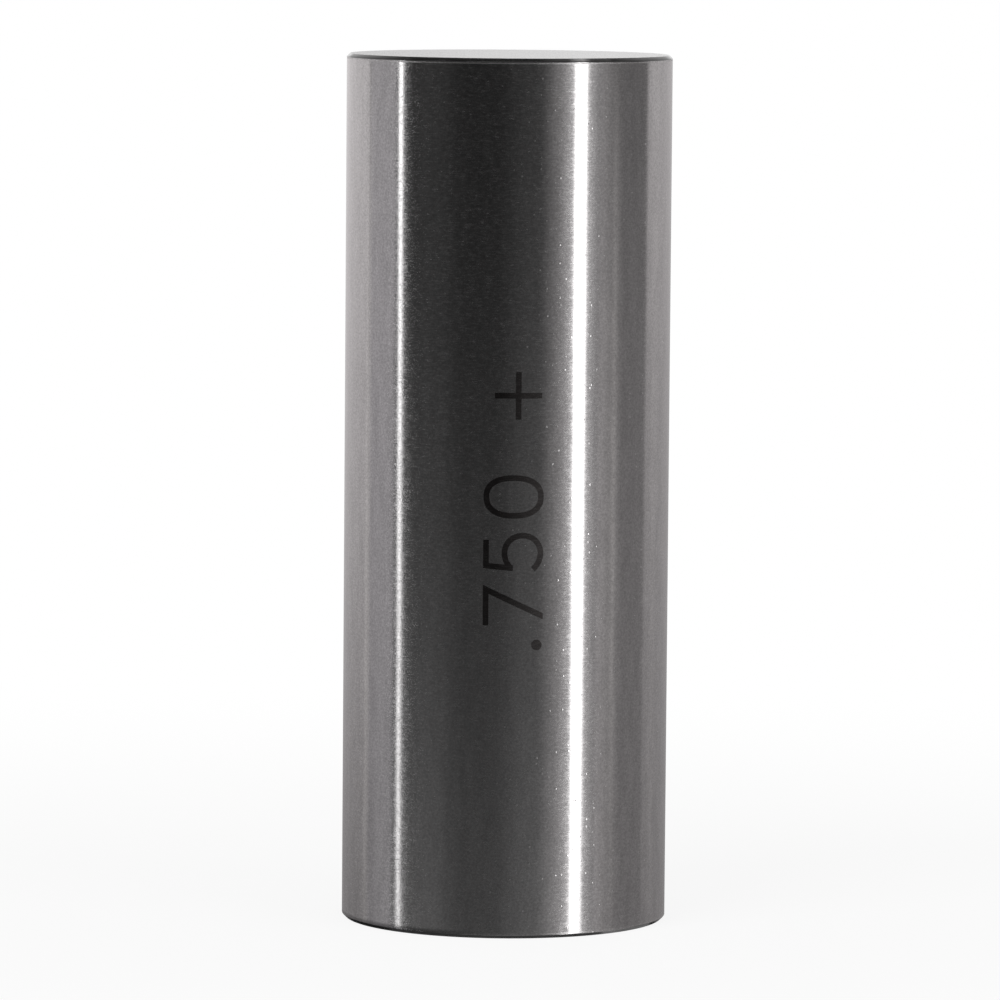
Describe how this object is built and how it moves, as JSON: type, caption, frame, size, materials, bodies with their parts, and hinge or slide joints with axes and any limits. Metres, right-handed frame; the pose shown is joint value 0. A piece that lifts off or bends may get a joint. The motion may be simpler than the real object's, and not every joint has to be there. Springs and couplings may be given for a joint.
{
  "type": "pin gauge",
  "caption": "Solid ground steel cylinder for checking hole sizes, with square lapped ends and a small chamfer round each end.",
  "frame": {"origin": "centre of the lower end face, on the axis", "axes": "+Z along the axis, from the lower end face to the upper one; +X and +Y are square to it and the size figures on the barrel face -Y"},
  "size_m": [0.019, 0.019, 0.0508],
  "materials": {
    "ground_steel": "ground and lapped bare tool steel, with fine marks round the barrel",
    "dark_mark": "dull dark oxide of the size figures, burnt into the ground barrel"
  },
  "bodies": {
    "root": {"gauge_pin": "ground_steel"}
  },
  "joints": []
}
